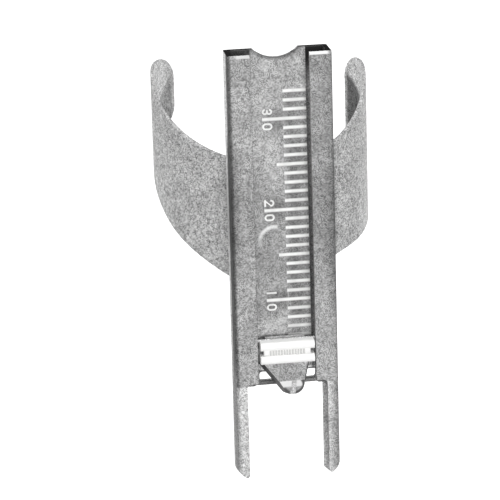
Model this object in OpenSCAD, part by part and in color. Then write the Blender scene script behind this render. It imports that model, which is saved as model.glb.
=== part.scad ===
// Finger-worn length gauge: a folded channel with a millimetre scale, a captured slider
// that points at the scale, two prongs below and an open spring ring behind.
// The origin is on the ring's axis at the middle of its band. +Z runs up the scale,
// and the scale faces -Y. Heights named "above zero" are measured from the scale's zero.

/* [Channel] */
// Outer width of the folded channel
channel_w = 11.1; // [9:0.1:14]
// Outer depth of the folded channel, lips to back
channel_d = 3.6; // [3.3:0.1:5]
// Thickness of the channel's sheet
sheet_t = 0.5; // [0.4:0.05:0.6]
// Inner radius of the folds
fold_r = 0.2; // [0.1:0.05:0.3]
// Outer radius of the folds, which are struck sharp
fold_out_r = 0.3; // [0.2:0.05:0.7]
// Clear width between the two lips
lip_gap = 6.3; // [6.1:0.1:7]
// Height of the channel's upper end above zero
channel_top = 37.6; // [37.2:0.1:46]
// Height of the lips' lower end above zero
lip_foot = 1.5; // [1:0.1:1.8]
// Bevel on the front of the lips' upper ends
lip_bevel = 0.35; // [0.2:0.05:0.6]
// Height of the floor's lower end above zero
floor_foot = 0.5; // [0.3:0.1:0.8]
// Height of the bar that closes the floor below the foot slot
foot_bar_h = 0.4; // [0.3:0.05:0.5]
// Width of the foot slot, through which the nose is seen against the light
foot_slot_w = 6.2; // [5:0.1:6.6]
// How far the foot slot lies to the right of the middle
foot_slot_x = 0.45; // [0:0.05:0.6]
// Height of the foot slot
foot_slot_h = 1.1; // [0.8:0.1:1.5]
// Width of the scoop in the floor's upper end
scoop_w = 4.9; // [3:0.1:6]
// Depth of the scoop in the floor's upper end
scoop_d = 1; // [0.5:0.1:2]

/* [Prongs] */
// Width of each prong, seen from the front
prong_w = 1.2; // [1.1:0.1:1.6]
// Length of the prongs below zero, at their front
prong_l = 9.1; // [6:0.1:16]
// Radius of the outer sweep of a prong's tip
prong_sweep_r = 1.7; // [1.7:0.1:4]
// Radius of the inner corner of a prong's tip
prong_corner_r = 0.35; // [0.2:0.05:0.55]
// Rake of the prongs' tips, in degrees: their back reaches lower than their front
prong_rake = 12; // [0:1:15]
// Radius at the root between prong and channel end
prong_root_r = 0.5; // [0.2:0.05:0.8]

/* [Scale] */
// Thickness of the graduated plate
plate_t = 0.4; // [0.3:0.05:0.5]
// Highest graduation, in millimetres
scale_max = 33; // [30:1:35]
// Width of a graduation line
mark_t = 0.4; // [0.2:0.05:0.5]
// Depth of the filled grooves
mark_depth = 0.08; // [0.05:0.01:0.15]
// Distance of the lines' right ends from the middle
mark_right = 3.1; // [2.6:0.1:3.4]
// Length of a one-millimetre line
mark_short = 2.5; // [1.5:0.05:3]
// Length of a five-millimetre line
mark_mid = 3.3; // [3.1:0.05:4]
// Length of a ten-millimetre line
mark_long = 4.75; // [4.4:0.05:5.2]
// Height of a numeral
digit_h = 1.1; // [0.8:0.05:1.2]
// Width of a numeral
digit_w = 0.76; // [0.6:0.02:0.9]
// Stroke width of a numeral
digit_t = 0.2; // [0.14:0.02:0.24]

/* [Finger ring] */
// Inner diameter of the ring
ring_inner_d = 22.8; // [18:0.1:28]
// Thickness of the ring's band
ring_t = 0.4; // [0.35:0.05:0.8]
// Height of the band's upper edge above zero, at its front
band_fore_top = 24.7; // [24.2:0.1:26]
// Height of the band's lower edge above zero, at its front
band_fore_low = 10.5; // [9.5:0.1:11.5]
// Height of the left wing's tip above zero
left_top = 33; // [32:0.1:33.6]
// Distance of the left wing's end behind the axis
left_reach = 7.8; // [6.6:0.1:8]
// Rise of the left wing's upper edge, in degrees
left_rise = 30; // [28:1:34]
// Rise of the left wing's lower edge, in degrees
left_low_rise = 36; // [30:1:37]
// How far the band's front hangs below the line of the left wing's lower edge
left_drop = 1.3; // [1:0.1:2]
// Radius of the curve from that edge down to the front
left_apron_r = 14; // [8:0.5:16]
// Height of the right wing's tip above zero
right_top = 32.6; // [32:0.1:33.6]
// Distance of the right wing's end behind the axis
right_reach = 4.7; // [4:0.1:6]
// Rise of the right wing's upper edge, in degrees
right_rise = 35; // [34:1:42]
// Rise of the right wing's lower edge, in degrees
right_low_rise = 13; // [5:1:20]
// How far the band's front hangs below the line of the right wing's lower edge
right_drop = 2.8; // [2:0.1:3.2]
// Radius of the curve from that edge down to the front
right_apron_r = 4; // [3.5:0.1:8]
// Radius of the shoulder between a wing's upper edge and its tip
shoulder_r = 6; // [4:0.5:8]
// Radius of the wing tips' corners
wing_r = 2.6; // [1.5:0.1:2.8]
// Thickness of the saddle at its middle
saddle_t = 0.4; // [0.3:0.05:0.8]
// Width of the saddle
saddle_w = 6; // [4:0.1:8]
// Height of the saddle
saddle_h = 10; // [8:0.1:11]
// Spacing of the two ring rivets
ring_rivet_pitch = 6; // [4:0.1:7]
// Shank diameter of a ring rivet
ring_rivet_d = 1.2; // [0.8:0.1:1.6]

/* [Slider] */
// Thickness of the runner
runner_t = 0.6; // [0.4:0.05:0.8]
// Gap between the grip's ribs and each lip
grip_gap = 0.22; // [0.1:0.02:0.5]
// Height of the grip
grip_h = 2.45; // [2.2:0.05:3]
// Height of the grip's lower edge above zero, slider at zero
grip_foot = 3.8; // [3.4:0.05:4.1]
// Height of each rib of the grip
rib_h = 0.95; // [0.6:0.05:1]
// How far the ribs stand in front of the lips
grip_proud = 0.75; // [0.4:0.05:1.2]
// Depth of the groove between the ribs
grip_groove = 0.5; // [0.2:0.05:0.6]
// Radius of the nose's tip at its foot
nose_r = 1.6; // [1.2:0.05:1.7]
// How far the nose's tip leans to the right
nose_lean = 0.8; // [0.4:0.05:1]
// Taper of the nose's left side, in degrees
nose_left = 37; // [20:1:40]
// Taper of the nose's right side, in degrees
nose_right = 12; // [5:1:18]
// Draft of the nose's flanks and tip, in degrees
nose_draft = 15; // [5:1:18]
// How far the nose's front face lies behind the lips' front
nose_sink = 0.4; // [0.1:0.05:0.6]
// Slope of the bevel at the nose's tip, in degrees
nose_bevel = 32; // [20:1:40]
// Width of the index groove in the bevel
index_w = 0.3; // [0.2:0.05:0.5]
// Shank diameter of a cursor rivet
cursor_rivet_d = 0.8; // [0.5:0.05:1]
// Spacing of the two cursor rivets
cursor_rivet_pitch = 3; // [2:0.1:3.2]
// Thickness of a drag spring's leaf
leaf_t = 0.15; // [0.1:0.01:0.25]
// Distance of a drag spring's leaf from each side of the runner's arm
leaf_inset = 0.2; // [0.1:0.05:0.3]
// Distance of the upper stops' middle from the channel's upper end
stop_end = 0.88; // [0.7:0.02:8]

/* [Clearances] */
// Running clearance of the slider on every side
run_gap = 0.06; // [0.04:0.01:0.12]
// Clearance of parts that are fastened together
seat_gap = 0.02; // [0.01:0.01:0.05]

/* [Hidden] */
$fn = 96;
cut = 1;

// Colours of the finishes
steel = [0.66, 0.67, 0.68];
spring_steel = [0.60, 0.61, 0.63];
white = [0.95, 0.95, 0.94];

// Depths along Y, from the ring's axis forward to the lips
ring_ri = ring_inner_d / 2;
ring_ro = ring_ri + ring_t;
back_y = -(ring_ro + saddle_t);
floor_y = back_y - sheet_t;
plate_y = floor_y - plate_t;
front_y = back_y - channel_d;
lip_y = front_y + sheet_t;

// Channel widths
half_w = channel_w / 2;
inner_half_w = half_w - sheet_t;
lip_half_gap = lip_gap / 2;
foot_slot_z = floor_foot + foot_bar_h;
foot_slot_r = 0.3;
scoop_r = (scoop_w * scoop_w / 4 + scoop_d * scoop_d) / (2 * scoop_d);

// Prong tips: the outer sweep starts here and ends where the inner corner's round begins
prong_gap = channel_w - 2 * prong_w;
prong_run = prong_sweep_r - (prong_w - prong_corner_r);
sweep_z = sqrt(prong_sweep_r * prong_sweep_r - prong_run * prong_run) - prong_l;
prong_foot = -prong_l - channel_d * tan(prong_rake);

// Plate
plate_half_w = inner_half_w - fold_r - run_gap;
minor_step = 1;
scale_min = ceil(foot_slot_z + foot_slot_h + mark_t / 2);
five_step = 5;
ten_step = 10;
digit_x = mark_right - mark_long + digit_h / 2;
digit_gap = 0.22;

// Wing tips: a wing is no taller than its rising edge and shoulder allow
function tip_top(top, reach, rise) = min(top,
    band_fore_top + tan(rise) * (reach - wing_r + ring_ro) + shoulder_r - shoulder_r / cos(rise));
left_tip = tip_top(left_top, left_reach, left_rise);
right_tip = tip_top(right_top, right_reach, right_rise);
band_top = max(left_tip, right_tip);
quarter = 90;
arc_step = 5;

// Height of the origin above zero, half way up the band
origin_h = (band_top + band_fore_low) / 2;

// Rivets through the ring
ring_rivet_r = ring_rivet_d / 2;
ring_head_flare = 0.4;
ring_head_r = ring_rivet_r + ring_head_flare;
ring_head_t = 0.3;
saddle_corner = 1;
saddle_mid = (band_fore_low + band_fore_top) / 2;

// Slider
runner_front = lip_y + run_gap;
runner_back = runner_front + runner_t;
runner_half_w = inner_half_w - run_gap;
runner_chamfer = fold_r + run_gap;
arm_in = lip_half_gap + run_gap;
arm_drop = 2.75;
grip_top = grip_foot + grip_h;
grip_w = lip_gap - 2 * grip_gap;
grip_inset = 0.4;
grip_fore = front_y - grip_proud;
groove_y = grip_fore + grip_groove;
stop_h = 0.4;
stop_base_r = 0.6;
stop_r = (stop_base_r * stop_base_r + stop_h * stop_h) / (2 * stop_h);
stop_out = stop_r - stop_h;
stop_bite = stop_out + run_gap;
stop_reach = sqrt(stop_r * stop_r - stop_bite * stop_bite) + run_gap;
stop_y = runner_back;
arm_foot = grip_foot - arm_drop;
stop_low = arm_foot - stop_reach;
stop_high = channel_top - stop_end;
nose_front = front_y + nose_sink;
nose_h = plate_y - nose_front;
nose_half_w = lip_half_gap - run_gap;
nose_foot = plate_y - run_gap;
nose_tip = -0.72;
nose_zc = nose_tip + nose_r;
nose_top = grip_foot - run_gap;
nose_bevel_z = 1.5;
nose_flat = 0.05;
tang_t = 0.6;
cursor_rivet_r = cursor_rivet_d / 2;
cursor_head_flare = 0.25;
cursor_head_r = cursor_rivet_r + cursor_head_flare;
cursor_head_t = 0.2;
cursor_rivet_z = grip_foot + grip_h / 2;
rivet_cover = 0.25;
tang_half_w = cursor_rivet_pitch / 2 + cursor_head_r;
leaf_len = 4.4;
leaf_rise = plate_y - run_gap - runner_back;
leaf_r = (leaf_len * leaf_len / 4 + leaf_rise * leaf_rise) / (2 * leaf_rise);
leaf_z = (arm_foot + grip_top) / 2;

// Place children whose heights are measured from the scale's zero
module from_zero() translate([0, 0, -origin_h]) children();

// Mirror a child to the other side as well
module both_sides() {
    children();
    mirror([1, 0, 0]) children();
}

// Extrude an outline drawn in the front view (x, height) from depth y0 to y1
module front_extrude(y0, y1)
    translate([0, y1, 0]) rotate([90, 0, 0]) linear_extrude(y1 - y0) children();

// Extrude an outline drawn in the side view (depth, height) from x0 to x1
module side_extrude(x0, x1)
    translate([x0, 0, 0]) rotate([90, 0, 90]) linear_extrude(x1 - x0) children();

// Rectangle between two corners with rounded corners
module round_rect(lo, hi, r) {
    translate([lo[0] + r, lo[1]]) square([hi[0] - lo[0] - 2 * r, hi[1] - lo[1]]);
    translate([lo[0], lo[1] + r]) square([hi[0] - lo[0], hi[1] - lo[1] - 2 * r]);
    for (x = [lo[0] + r, hi[0] - r], y = [lo[1] + r, hi[1] - r])
        translate([x, y]) circle(r);
}

// Rectangle between two corners
module rect(lo, hi) translate(lo) square(hi - lo);

// Front outline of the space between the prongs, up to a given height
module prong_space(top) {
    half = prong_gap / 2;
    rect([-half, prong_foot - cut], [half, top - prong_root_r]);
    round_rect([-half, top - 2 * prong_root_r - cut], [half, top], prong_root_r);
}

// Front outline of what lies outside the right prong's swept tip, for a given sweep radius
module sweep_trim(r) difference() {
    rect([half_w - prong_sweep_r, prong_foot - cut], [half_w + cut, sweep_z]);
    translate([half_w - prong_sweep_r, sweep_z]) circle(r);
}

// Front outline of what is rounded off the inner corner of the right prong's tip
module corner_trim() {
    x = half_w - prong_w + prong_corner_r;
    z = prong_corner_r - prong_l;
    difference() {
        rect([half_w - prong_w - cut, prong_foot - cut], [x, z]);
        translate([x, z]) circle(prong_corner_r);
    }
}

// Extrude a front outline through the whole depth, tilted about the front of the prongs' tips
module raked_extrude()
    translate([0, front_y, -prong_l]) rotate([-prong_rake, 0, 0]) translate([0, -front_y, prong_l])
        front_extrude(front_y - cut, back_y + cut) children();

// Hollow of the channel, closed below by the prongs' swept tips
module channel_hollow() difference() {
    translate([0, 0, prong_foot - cut]) linear_extrude(channel_top - prong_foot + 2 * cut)
        round_rect([-inner_half_w, lip_y], [inner_half_w, floor_y], fold_r);
    both_sides() raked_extrude() sweep_trim(prong_sweep_r - sheet_t);
}

// Scoop in the upper end of the floor and the plate
module scoop()
    translate([0, back_y + cut, channel_top - scoop_d + scoop_r])
        rotate([90, 0, 0]) cylinder(h = channel_d - sheet_t + cut, r = scoop_r);

// Slot through plate and floor just above their lower end
module foot_slot() {
    lo = [foot_slot_x - foot_slot_w / 2, foot_slot_z];
    hi = [foot_slot_x + foot_slot_w / 2, foot_slot_z + foot_slot_h];
    front_extrude(plate_y - cut, back_y + cut) round_rect(lo, hi, foot_slot_r);
}

// Wedge that bevels the front edge of the lips' upper ends
module lip_bevel_cut()
    translate([-half_w - cut, front_y + lip_bevel, channel_top]) rotate([45, 0, 0])
        translate([0, -channel_d, 0]) cube([channel_w + 2 * cut, 2 * channel_d, channel_d]);

// Ball that presses a stop into the right wall, at a given height
module stop_ball(z) translate([inner_half_w + stop_out, stop_y, z]) sphere(stop_r);

// One flush rivet through floor, saddle and band, at its own axis
module ring_rivet(grow = 0) {
    length = -ring_ri - floor_y - seat_gap;
    r = ring_rivet_r + grow;
    head = ring_head_r + grow;
    translate([0, floor_y, 0]) rotate([-90, 0, 0]) rotate_extrude()
        polygon([
            [0, -grow], [head, -grow], [r, ring_head_t], [r, length - ring_head_t],
            [head, length + grow], [0, length + grow],
        ]);
}

module at_ring_rivets()
    for (side = [-1, 1])
        translate([0, 0, saddle_mid + side * ring_rivet_pitch / 2]) children();

// Stops pressed into the walls, which the runner's arms meet at each end of the travel
module stops() both_sides() for (z = [stop_low, stop_high]) intersection() {
    stop_ball(z);
    translate([inner_half_w - stop_h - cut, lip_y, z - stop_r])
        cube([stop_h + cut + sheet_t / 2, channel_d - 2 * sheet_t, 2 * stop_r]);
}

module channel_body() {
    color(steel) from_zero() {
        difference() {
            translate([0, 0, prong_foot]) linear_extrude(channel_top - prong_foot)
                round_rect([-half_w, front_y], [half_w, back_y], fold_out_r);
            channel_hollow();
            front_extrude(front_y - cut, lip_y + cut)
                rect([-lip_half_gap, prong_foot - cut], [lip_half_gap, channel_top + cut]);
            front_extrude(front_y - cut, lip_y + cut) prong_space(lip_foot);
            front_extrude(lip_y, back_y + cut) prong_space(floor_foot);
            both_sides() raked_extrude() {
                sweep_trim(prong_sweep_r);
                corner_trim();
            }
            scoop();
            foot_slot();
            lip_bevel_cut();
            at_ring_rivets() ring_rivet(seat_gap);
        }
        stops();
    }
}

// Front outline of all millimetre lines
module mark_outlines() {
    for (mm = [scale_min : minor_step : scale_max]) {
        len = mm % ten_step == 0 ? mark_long : mm % five_step == 0 ? mark_mid : mark_short;
        rect([mark_right - len, mm - mark_t / 2], [mark_right, mm + mark_t / 2]);
    }
}

// Outlines of the numerals, upright and centred
module stadium(w, h) {
    square([w, h - w], center = true);
    for (side = [-1, 1]) translate([0, side * (h - w) / 2]) circle(w / 2);
}

module digit_zero() difference() {
    stadium(digit_w, digit_h);
    stadium(digit_w - 2 * digit_t, digit_h - 2 * digit_t);
}

module digit_one() square([digit_t, digit_h], center = true);

module digit_two() {
    bowl = digit_w / 2;
    bowl_y = digit_h / 2 - bowl;
    leg_dx = digit_w - digit_t;
    leg_dy = bowl_y + digit_h / 2 - digit_t / 2;
    difference() {
        translate([0, bowl_y]) circle(bowl);
        translate([0, bowl_y]) circle(bowl - digit_t);
        rect([-digit_w, -digit_h], [digit_w, bowl_y - digit_t / 4]);
    }
    rect([-digit_w / 2, -digit_h / 2], [digit_w / 2, digit_t - digit_h / 2]);
    polygon([
        [bowl - digit_t, bowl_y], [bowl - digit_t / 8, bowl_y],
        [bowl - leg_dx, bowl_y - leg_dy], [bowl - leg_dx - digit_t, bowl_y - leg_dy],
    ]);
}

module digit_three() {
    bowl = (digit_h + digit_t) / 4;
    for (side = [-1, 1]) translate([0, side * (digit_h / 2 - bowl)]) difference() {
        circle(bowl);
        circle(bowl - digit_t);
        translate([-digit_w, side > 0 ? -digit_w : 0]) square([digit_w, digit_w]);
    }
    rect([-digit_w / 4, -digit_t / 2], [digit_t / 2, digit_t / 2]);
}

module digit(d) {
    if (d == 0) digit_zero();
    if (d == 1) digit_one();
    if (d == 2) digit_two();
    if (d == 3) digit_three();
}

// Front outline of the numerals: read downwards, one digit on each side of its line
module numeral_outlines() {
    offset_z = mark_t / 2 + digit_gap + digit_w / 2;
    for (mm = [ten_step : ten_step : scale_max]) {
        translate([digit_x, mm + offset_z]) rotate(-90) digit(mm / ten_step);
        translate([digit_x, mm - offset_z]) rotate(-90) digit(0);
    }
}

module scale_plate() {
    color(steel) from_zero() difference() {
        front_extrude(plate_y, floor_y)
            rect([-plate_half_w, floor_foot], [plate_half_w, channel_top]);
        scoop();
        foot_slot();
        front_extrude(plate_y - cut, plate_y + mark_depth) {
            mark_outlines();
            numeral_outlines();
        }
    }
}

module scale_marks()
    color(white) from_zero() front_extrude(plate_y, plate_y + mark_depth) mark_outlines();

module scale_numerals()
    color(white) from_zero() front_extrude(plate_y, plate_y + mark_depth) numeral_outlines();

module ring_saddle() {
    lo = saddle_mid - saddle_h / 2;
    hi = saddle_mid + saddle_h / 2;
    color(steel) from_zero() difference() {
        front_extrude(back_y, back_y + ring_t + saddle_t)
            round_rect([-saddle_w / 2, lo], [saddle_w / 2, hi], saddle_corner);
        translate([0, 0, lo - cut]) cylinder(h = saddle_h + 2 * cut, r = ring_ro);
        at_ring_rivets() ring_rivet(seat_gap);
    }
}

// Points on an arc about c, from angle a0 to a1
function arc(c, r, a0, a1) =
    let (n = ceil(abs(a1 - a0) / arc_step))
    [for (i = [0 : n]) c + r * [cos(a0 + (a1 - a0) * i / n), sin(a0 + (a1 - a0) * i / n)]];

// Side outline of one wing: a rising upper edge with a shoulder, a round-cornered end, a
// rising lower edge and an apron that hangs down to the front of the band
module wing_outline(tip, reach, rise, low_rise, drop, apron_r) {
    fore_y = -ring_ro - cut;
    end_y = reach - wing_r;
    shoulder_z = tip - shoulder_r;
    shoulder_run = (shoulder_z + shoulder_r / cos(rise) - band_fore_top) / tan(rise);
    low_z = band_fore_low + drop;
    end_low_z = low_z + tan(low_rise) * (end_y + ring_ro) + wing_r / cos(low_rise);
    sag = drop * cos(low_rise);
    apron_run = sqrt(sag * (2 * apron_r - sag)) * cos(low_rise) - sag * sin(low_rise);
    apron_y = apron_run - ring_ro + apron_r * sin(low_rise);
    apron_z = low_z + tan(low_rise) * apron_run - apron_r * cos(low_rise);
    apron_end = acos(max(-1, (-ring_ro - apron_y) / apron_r));
    polygon(concat(
        [[fore_y, band_fore_low], [fore_y, band_fore_top], [-ring_ro, band_fore_top]],
        arc([shoulder_run - ring_ro, shoulder_z], shoulder_r, quarter + rise, quarter),
        arc([end_y, tip - wing_r], wing_r, quarter, 0),
        arc([end_y, end_low_z], wing_r, 0, low_rise - quarter),
        arc([apron_y, apron_z], apron_r, quarter + low_rise, apron_end)
    ));
}

// Everything the two wings' outlines leave of a block around the ring
module band_trim() difference() {
    translate([-ring_ro - cut, -ring_ro - cut / 2, -cut])
        cube([2 * (ring_ro + cut), 2 * ring_ro + 2 * cut, band_top + 4 * cut]);
    side_extrude(-ring_ro - 2 * cut, 0)
        wing_outline(left_tip, left_reach, left_rise, left_low_rise, left_drop, left_apron_r);
    side_extrude(0, ring_ro + 2 * cut)
        wing_outline(right_tip, right_reach, right_rise, right_low_rise, right_drop, right_apron_r);
}

module finger_ring() {
    color(spring_steel) from_zero() difference() {
        cylinder(h = band_top + cut, r = ring_ro);
        translate([0, 0, -cut]) cylinder(h = band_top + 3 * cut, r = ring_ri);
        band_trim();
        at_ring_rivets() ring_rivet(seat_gap);
    }
}

module ring_rivets() color(steel) from_zero() at_ring_rivets() ring_rivet();

// Both cursor rivets: head moulded into the grip, shank, peened head behind the tang
module cursor_rivet_pair(grow = 0) {
    fore = groove_y + rivet_cover;
    aft = runner_back + tang_t + cursor_head_t;
    r = cursor_rivet_r + grow;
    head = cursor_head_r + grow;
    for (side = [-1, 1])
        translate([side * cursor_rivet_pitch / 2, fore, cursor_rivet_z])
            rotate([-90, 0, 0]) {
                translate([0, 0, -grow]) cylinder(h = cursor_head_t + 2 * grow, r = head);
                cylinder(h = aft - fore, r = r);
                translate([0, 0, aft - fore - cursor_head_t]) cylinder(h = cursor_head_t, r = head);
            }
}

// Cross-section of the runner, chamfered to pass the inside of the lips' folds
module runner_section() {
    face_w = runner_half_w - runner_chamfer;
    shoulder = runner_front + runner_chamfer;
    polygon([
        [-face_w, runner_front], [face_w, runner_front], [runner_half_w, shoulder],
        [runner_half_w, runner_back], [-runner_half_w, runner_back], [-runner_half_w, shoulder],
    ]);
}

module cursor_runner() {
    color(steel) from_zero() difference() {
        translate([0, 0, arm_foot]) linear_extrude(grip_top - arm_foot) runner_section();
        front_extrude(runner_front - cut, runner_back + cut)
            rect([-arm_in, arm_foot - cut], [arm_in, grip_foot]);
        cursor_rivet_pair(seat_gap);
    }
}

// Side outline of the grip: a base on the runner and two round-nosed ribs
module rib_outline(z) {
    round_r = rib_h / 2;
    rect([grip_fore + round_r, z], [runner_front, z + rib_h]);
    translate([grip_fore + round_r, z + round_r]) circle(round_r);
}

module thumb_grip() {
    color(white) from_zero() difference() {
        union() {
            side_extrude(-grip_w / 2, grip_w / 2) {
                rib_outline(grip_foot);
                rib_outline(grip_top - rib_h);
            }
            side_extrude(grip_inset - grip_w / 2, grip_w / 2 - grip_inset)
                rect([groove_y, grip_foot + rib_h / 2], [runner_front, grip_top - rib_h / 2]);
        }
        cursor_rivet_pair(seat_gap);
    }
}

// Cutter along the right flank of a nose whose tip is at the middle; the flat flank cuts a
// little into the round of the tip
module nose_flank_cut(taper) {
    r = nose_r - nose_flat;
    translate([r * cos(taper), nose_foot, nose_zc - r * sin(taper)])
        rotate([0, taper, 0]) rotate([0, 0, -nose_draft])
            translate([0, -2 * nose_h, -2 * nose_top]) cube([2 * nose_h, 4 * nose_h, 4 * nose_top]);
}

// Cutter that leaves the tip of such a nose as a cone
module nose_tip_cut() {
    reach = 2 * nose_top;
    left = reach * [-cos(nose_left), -sin(nose_left)];
    right = reach * [cos(nose_right), -sin(nose_right)];
    slope = tan(nose_draft);
    difference() {
        front_extrude(nose_front - cut / 2, nose_foot + cut / 2) translate([0, nose_zc])
            polygon([[0, 0], left, [left[0], -reach], [right[0], -reach], right]);
        translate([0, nose_foot + cut, nose_zc]) rotate([90, 0, 0])
            cylinder(h = nose_h + 2 * cut, r1 = nose_r + slope * cut, r2 = nose_r - slope * (nose_h + cut));
    }
}

module index_nose() {
    color(steel) from_zero() difference() {
        union() {
            front_extrude(nose_front, nose_foot)
                rect([-nose_half_w, nose_tip - cut], [nose_half_w, nose_top]);
            front_extrude(runner_back, runner_back + tang_t)
                rect([-tang_half_w, nose_top - cut], [tang_half_w, grip_top]);
        }
        translate([0, nose_front, nose_bevel_z]) rotate([nose_bevel, 0, 0]) {
            translate([-half_w, -nose_h, -channel_d])
                cube([channel_w, nose_h, channel_d]);
            translate([nose_lean, 0, 0]) rotate([0, 0, 45])
                translate([-index_w / 2, -index_w / 2, -channel_d])
                    cube([index_w, index_w, channel_d]);
        }
        translate([nose_lean, 0, 0]) {
            nose_flank_cut(nose_right);
            mirror([1, 0, 0]) nose_flank_cut(nose_left);
            nose_tip_cut();
        }
        cursor_rivet_pair(seat_gap);
    }
}

module cursor_rivets() color(steel) from_zero() cursor_rivet_pair();

module drag_springs() {
    bow_y = plate_y - run_gap - leaf_r;
    color(spring_steel) from_zero() both_sides()
        side_extrude(arm_in + leaf_inset, runner_half_w - leaf_inset) difference() {
            translate([bow_y, leaf_z]) circle(leaf_r);
            translate([bow_y, leaf_z]) circle(leaf_r - leaf_t);
            rect([bow_y - 2 * leaf_r, leaf_z - 2 * leaf_r], [runner_back, leaf_z + 2 * leaf_r]);
        }
}

channel_body();
scale_plate();
scale_marks();
scale_numerals();
ring_saddle();
finger_ring();
ring_rivets();
cursor_runner();
thumb_grip();
index_nose();
cursor_rivets();
drag_springs();
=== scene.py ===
"""Looks of a finger-worn endodontic gauge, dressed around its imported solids.

Every length is in metres, in the frame of the solids: the origin lies on the finger
ring's axis, +Z runs up the scale, and the scale faces -Y.
"""

import logging
import math
from dataclasses import dataclass
from enum import Enum
from typing import NamedTuple

import bmesh
import bpy
from mathutils import Matrix, Vector


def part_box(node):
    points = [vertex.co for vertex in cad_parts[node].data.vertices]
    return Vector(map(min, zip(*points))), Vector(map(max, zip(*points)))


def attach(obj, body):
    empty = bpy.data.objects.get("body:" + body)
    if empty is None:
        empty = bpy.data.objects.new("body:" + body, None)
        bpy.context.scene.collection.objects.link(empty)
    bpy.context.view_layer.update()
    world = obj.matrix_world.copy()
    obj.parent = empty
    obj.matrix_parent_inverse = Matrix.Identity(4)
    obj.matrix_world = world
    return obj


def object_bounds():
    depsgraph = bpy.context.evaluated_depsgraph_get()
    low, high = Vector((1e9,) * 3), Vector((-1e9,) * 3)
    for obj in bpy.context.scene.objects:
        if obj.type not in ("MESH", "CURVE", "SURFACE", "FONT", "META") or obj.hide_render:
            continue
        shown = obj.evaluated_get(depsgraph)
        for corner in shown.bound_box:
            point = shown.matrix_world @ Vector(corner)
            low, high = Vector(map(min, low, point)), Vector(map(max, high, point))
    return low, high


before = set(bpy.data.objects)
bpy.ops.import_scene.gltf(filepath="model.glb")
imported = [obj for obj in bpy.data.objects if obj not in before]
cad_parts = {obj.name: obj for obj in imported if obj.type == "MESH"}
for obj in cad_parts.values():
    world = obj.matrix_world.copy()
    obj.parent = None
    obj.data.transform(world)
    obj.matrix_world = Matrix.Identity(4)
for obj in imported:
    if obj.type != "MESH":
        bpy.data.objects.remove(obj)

CAD_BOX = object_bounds()
MM = 0.001
CHANNEL_TOP = 37.6 * MM
SCALE_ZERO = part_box("channel_body")[1][2] - CHANNEL_TOP

log = logging.getLogger("gauge")

Colour = tuple[float, float, float]
Socket = bpy.types.NodeSocket


class Body(Enum):
    """Bodies of the gauge that pieces ride on."""

    GAUGE = "gauge"
    SLIDER = "slider"


class Slot(Enum):
    """Material slots of the record."""

    SATIN_STEEL = "satin_steel"
    SCALE_STEEL = "scale_steel"
    SPRING_STEEL = "spring_steel"
    WHITE_FILL = "white_fill"
    WHITE_PLASTIC = "white_plastic"


class Effect(Enum):
    """Shader node groups that several finishes share."""

    GRAIN = "satin_grain"
    HANDLING = "handling_marks"


class Node(Enum):
    """Solids of the gauge."""

    CHANNEL = "channel_body"
    PLATE = "scale_plate"
    MARKS = "scale_marks"
    NUMERALS = "scale_numerals"
    SADDLE = "ring_saddle"
    RING = "finger_ring"
    RING_RIVETS = "ring_rivets"
    RUNNER = "cursor_runner"
    GRIP = "thumb_grip"
    NOSE = "index_nose"
    CURSOR_RIVETS = "cursor_rivets"
    SPRINGS = "drag_springs"


class Ramp(NamedTuple):
    """Smooth change of a value: to_low up to low, and to_high from high on."""

    low: float
    high: float
    to_low: float
    to_high: float


class Here(NamedTuple):
    """Sockets of the shaded point: its place in the frame and the way its surface faces."""

    x: Socket
    y: Socket
    z: Socket
    nx: Socket
    ny: Socket
    nz: Socket


class Shade(NamedTuple):
    """Colour of a finish, and a mask of where it is made dull and not metallic, if anywhere, which keeps
    painted shade dark.
    """

    colour: Socket
    dull: Socket | None


def along(low: float, high: float, to_low: float, to_high: float) -> Ramp:
    """Make a ramp along a length.

    Args:
        low: Start in millimetres.
        high: End in millimetres.
        to_low: Value at the start.
        to_high: Value at the end.

    Returns:
        The ramp in metres.
    """
    return Ramp(low * MM, high * MM, to_low, to_high)


def rgba(colour: Colour, gain: float = 1.0) -> tuple[float, float, float, float]:
    """Give a colour an alpha of 1.

    Args:
        colour: Red, green and blue.
        gain: Factor on all three.

    Returns:
        The colour with alpha.
    """
    return (colour[0] * gain, colour[1] * gain, colour[2] * gain, 1.0)


def grey(level: float) -> Colour:
    """Neutral colour of one level."""
    return (level, level, level)


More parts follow.
